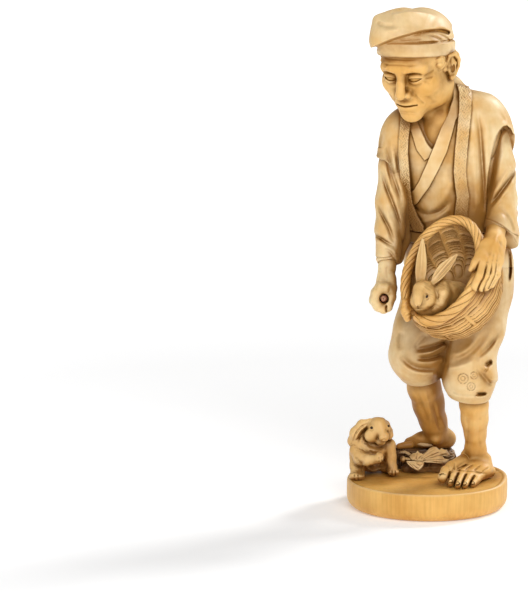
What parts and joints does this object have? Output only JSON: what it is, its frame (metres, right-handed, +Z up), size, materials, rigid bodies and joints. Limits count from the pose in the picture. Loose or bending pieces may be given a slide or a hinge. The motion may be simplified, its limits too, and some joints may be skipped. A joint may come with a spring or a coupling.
{
  "type": "okimono carving",
  "caption": "Standing carved figure of a farmer with a cloth round the head, holding a woven basket with a rabbit in it, on a round plinth where another rabbit sits.",
  "frame": {"origin": "centre of the plinth's flat underside", "axes": "+Z up to the head, -Y the front the figure faces, +X to the viewer's right"},
  "size_m": [0.0632, 0.0669, 0.1879],
  "materials": {
    "ivory": "polished, stained brown in the cuts",
    "stained_ivory": "polished, heavily stained",
    "stub": "satin",
    "eye_inlay": "polished dark inlay",
    "dowel": "plain"
  },
  "bodies": {
    "root": {"plinth": "ivory", "plinth_rabbit": "ivory", "right_leg": "ivory", "left_leg": "ivory", "trousers": "ivory", "torso": "ivory", "right_sleeve": "ivory", "left_sleeve": "ivory", "right_hand": "ivory", "left_hand": "ivory", "head": "ivory", "head_cloth": "ivory", "basket_body": "ivory", "basket_rim": "ivory", "basket_rabbit": "ivory", "ground_mound": "stained_ivory", "leaf_spray": "stained_ivory", "held_stick_stub": "stub", "plinth_rabbit_eyes": "eye_inlay", "basket_rabbit_eyes": "eye_inlay", "foot_dowels": "dowel", "shin_dowels": "dowel", "waist_dowels": "dowel", "neck_dowel": "dowel", "shoulder_dowels": "dowel", "wrist_dowels": "dowel", "basket_dowel": "dowel", "ornament_dowels": "dowel"}
  },
  "joints": []
}
